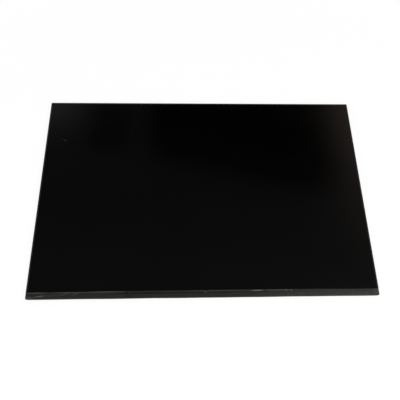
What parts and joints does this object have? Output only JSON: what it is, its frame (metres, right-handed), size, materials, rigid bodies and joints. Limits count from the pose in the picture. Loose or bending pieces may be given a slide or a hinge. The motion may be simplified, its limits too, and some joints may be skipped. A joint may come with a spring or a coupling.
{
  "type": "laptop screen panel",
  "caption": "Slim edge-lit liquid-crystal laptop screen panel without screw ears, lying face up: glass cell, backlight tray, folded edge tapes, rear driver board with cable receptacle.",
  "frame": {"origin": "centre of the bounding box, on the surface that the panel lies on", "axes": "+X to the viewer's right along the long side, +Y to the top edge of the picture, +Z out of the screen"},
  "size_m": [0.3068, 0.1974, 0.0042],
  "materials": {
    "screen_film": "low-reflection semi-gloss",
    "panel_glass": "polished",
    "polarising_film": "smooth",
    "grey_tape": "satin, slightly wrinkled",
    "black_tape": "matt",
    "tray_metal": "rolled, satin",
    "frame_plastic": "moulded",
    "white_sheet": "matt",
    "guide_plastic": "polished",
    "optical_film": "satin",
    "flex_circuit": "satin",
    "lamp_body": "matt",
    "driver_film": "satin",
    "bare_chip": "polished",
    "board": "solder-masked",
    "board_adhesive": "matt",
    "cover_film": "satin",
    "chip_package": "moulded",
    "ferrite": "matt",
    "capacitor_body": "matt",
    "resistor_body": "satin",
    "insulator": "moulded",
    "shell_metal": "tin-plated",
    "contact_metal": "gold-plated"
  },
  "bodies": {
    "root": {"front_polariser": "screen_film", "colour_filter_glass": "panel_glass", "array_glass": "panel_glass", "rear_polariser": "polarising_film", "lower_edge_tape": "grey_tape", "left_edge_tape": "black_tape", "right_edge_tape": "black_tape", "top_edge_tape": "black_tape", "rim_tape": "black_tape", "back_plate": "tray_metal", "mould_frame": "frame_plastic", "reflector_sheet": "white_sheet", "light_guide": "guide_plastic", "diffuser_sheet": "optical_film", "lower_prism_sheet": "optical_film", "upper_prism_sheet": "optical_film", "brightness_film": "optical_film", "lamp_flex": "flex_circuit", "lamps": "lamp_body", "driver_film_1": "driver_film", "driver_film_2": "driver_film", "driver_film_3": "driver_film", "driver_film_4": "driver_film", "driver_chip_1": "bare_chip", "driver_chip_2": "bare_chip", "driver_chip_3": "bare_chip", "driver_chip_4": "bare_chip", "driver_board": "board", "board_tape": "board_adhesive", "board_cover_film": "cover_film", "timing_controller": "chip_package", "power_chip": "chip_package", "level_shifter": "chip_package", "lamp_driver": "chip_package", "memory_chip": "chip_package", "diodes": "chip_package", "inductors": "ferrite", "capacitors": "capacitor_body", "resistors": "resistor_body", "receptacle_insulator": "insulator", "receptacle_shell": "shell_metal", "receptacle_contacts": "contact_metal"}
  },
  "joints": []
}
